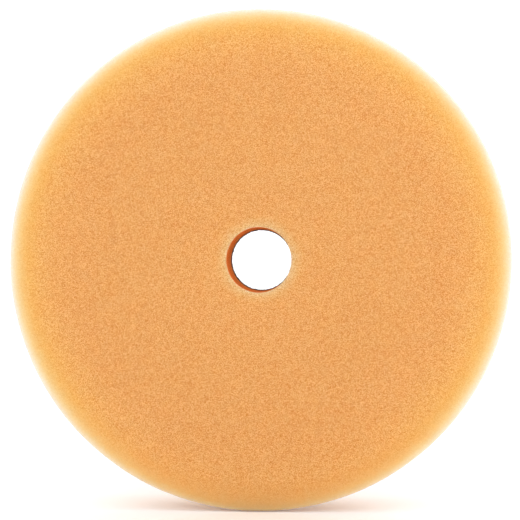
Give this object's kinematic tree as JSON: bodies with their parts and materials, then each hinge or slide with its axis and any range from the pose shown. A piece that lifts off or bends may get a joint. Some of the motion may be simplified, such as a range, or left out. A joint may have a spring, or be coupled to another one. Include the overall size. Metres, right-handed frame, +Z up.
{
  "type": "polishing pad",
  "caption": "Round open-cell foam polishing pad with a wide flat face, tapered side, centring hole and hook-and-loop backing.",
  "frame": {"origin": "centre of the loop face, the plane that sits on the polisher's backing plate", "axes": "+Y along the pad's axis, out of the loop face towards the polisher; the working face looks towards -Y; +Z up, with the pad upright like a wheel"},
  "size_m": [0.15, 0.025, 0.15],
  "materials": {
    "foam": "open-cell polyurethane foam, orange, soft and slightly translucent",
    "film": "cloudy amber hot-melt film",
    "loop_fabric": "charcoal nylon loop pile on a knitted ground"
  },
  "bodies": {
    "root": {"foam_body": "foam", "adhesive_film": "film", "loop_ground": "loop_fabric", "loop_pile": "loop_fabric"}
  },
  "joints": []
}
